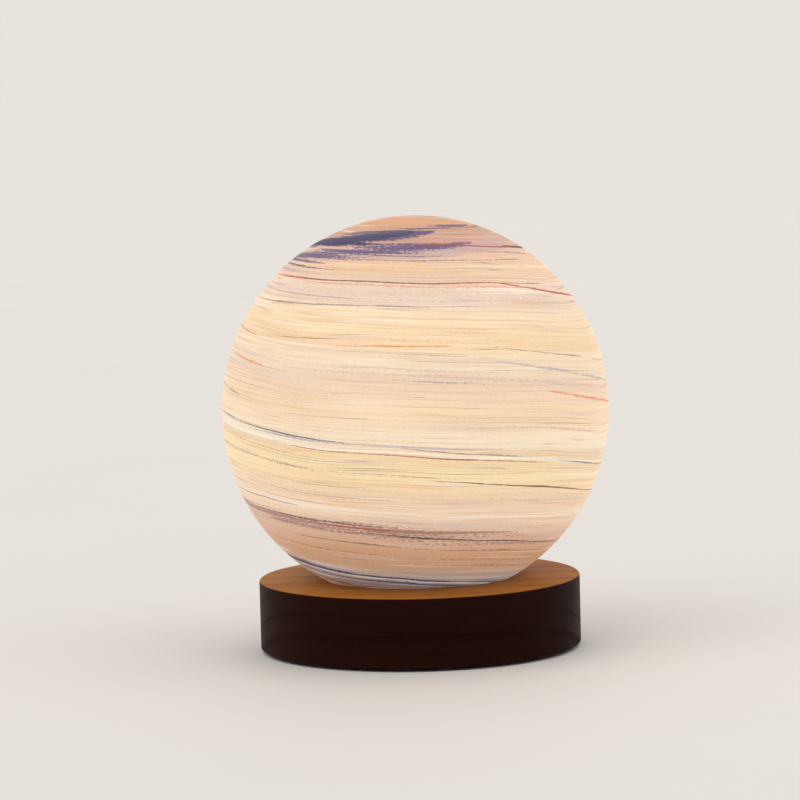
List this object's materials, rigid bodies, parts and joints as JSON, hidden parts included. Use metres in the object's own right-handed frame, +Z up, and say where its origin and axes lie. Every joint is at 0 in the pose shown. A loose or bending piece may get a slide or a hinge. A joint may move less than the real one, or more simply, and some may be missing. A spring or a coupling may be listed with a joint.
{
  "type": "globe table lamp",
  "caption": "Small table lamp with a painted opal glass globe seated in a low round turned wooden base, with a push button and a low-voltage socket at the back.",
  "frame": {"origin": "on the table under the middle of the base", "axes": "+Z up through the base and the globe, -Y towards the viewer, +Y towards the button at the back"},
  "size_m": [0.15, 0.15, 0.168],
  "materials": {
    "opal_glass": "glossy opal glass with painted streaks, lit from inside",
    "wood": "satin lacquered dark walnut",
    "black_plastic": "matte moulded",
    "soft_rubber": "soft matte",
    "silicone": "translucent matte silicone",
    "zinc_steel": "zinc plated",
    "spring_steel": "bright rolled strip",
    "brass": "satin",
    "ceramic": "unglazed white",
    "white_plastic": "satin moulded",
    "frosted_plastic": "frosted, lit from inside",
    "red_wire": "satin insulation",
    "black_wire": "satin insulation"
  },
  "bodies": {
    "base": {"wood_base": "wood", "globe_gasket": "silicone", "carrier_plate": "zinc_steel", "spring_clip_1": "spring_steel", "spring_clip_2": "spring_steel", "spring_clip_3": "spring_steel", "clip_screw_1": "zinc_steel", "clip_screw_2": "zinc_steel", "clip_screw_3": "zinc_steel", "lamp_column": "zinc_steel", "collar_nut": "brass", "column_washer": "zinc_steel", "column_nut": "zinc_steel", "holder_cup": "brass", "lamp_holder": "ceramic", "holder_contact_1": "brass", "holder_contact_2": "brass", "jack_body": "black_plastic", "jack_pin": "brass", "jack_sleeve_terminal": "brass", "jack_nut": "zinc_steel", "switch_body": "black_plastic", "switch_nut": "zinc_steel", "switch_spring": "spring_steel", "switch_terminal_1": "brass", "switch_terminal_2": "brass", "bottom_cover": "black_plastic", "cover_screw_1": "zinc_steel", "cover_screw_2": "zinc_steel", "cover_screw_3": "zinc_steel", "cover_screw_4": "zinc_steel", "foot_1": "soft_rubber", "foot_2": "soft_rubber", "foot_3": "soft_rubber", "foot_4": "soft_rubber", "wire_jack_to_switch": "red_wire", "wire_switch_to_bulb": "red_wire", "wire_jack_to_bulb": "black_wire"},
    "globe": {"glass_globe": "opal_glass"},
    "bulb": {"bulb_cap": "white_plastic", "bulb_cover": "frosted_plastic", "led_board": "white_plastic", "bulb_pin_1": "zinc_steel", "bulb_pin_2": "zinc_steel"},
    "button": {"switch_button": "black_plastic"}
  },
  "joints": [
    {"name": "globe_lift", "type": "slide", "parent": "base", "child": "globe", "axis": [0, 0, 1], "range_m": [0, 0.12]},
    {"name": "bulb_pull", "type": "slide", "parent": "base", "child": "bulb", "axis": [0, 0, 1], "range_m": [0, 0.03]},
    {"name": "switch_press", "type": "slide", "parent": "base", "child": "button", "axis": [0, -1, 0], "range_m": [0, 0.002], "stiffness_N_per_m": 500, "springref_m": -0.002, "deforming": ["switch_spring"]}
  ]
}
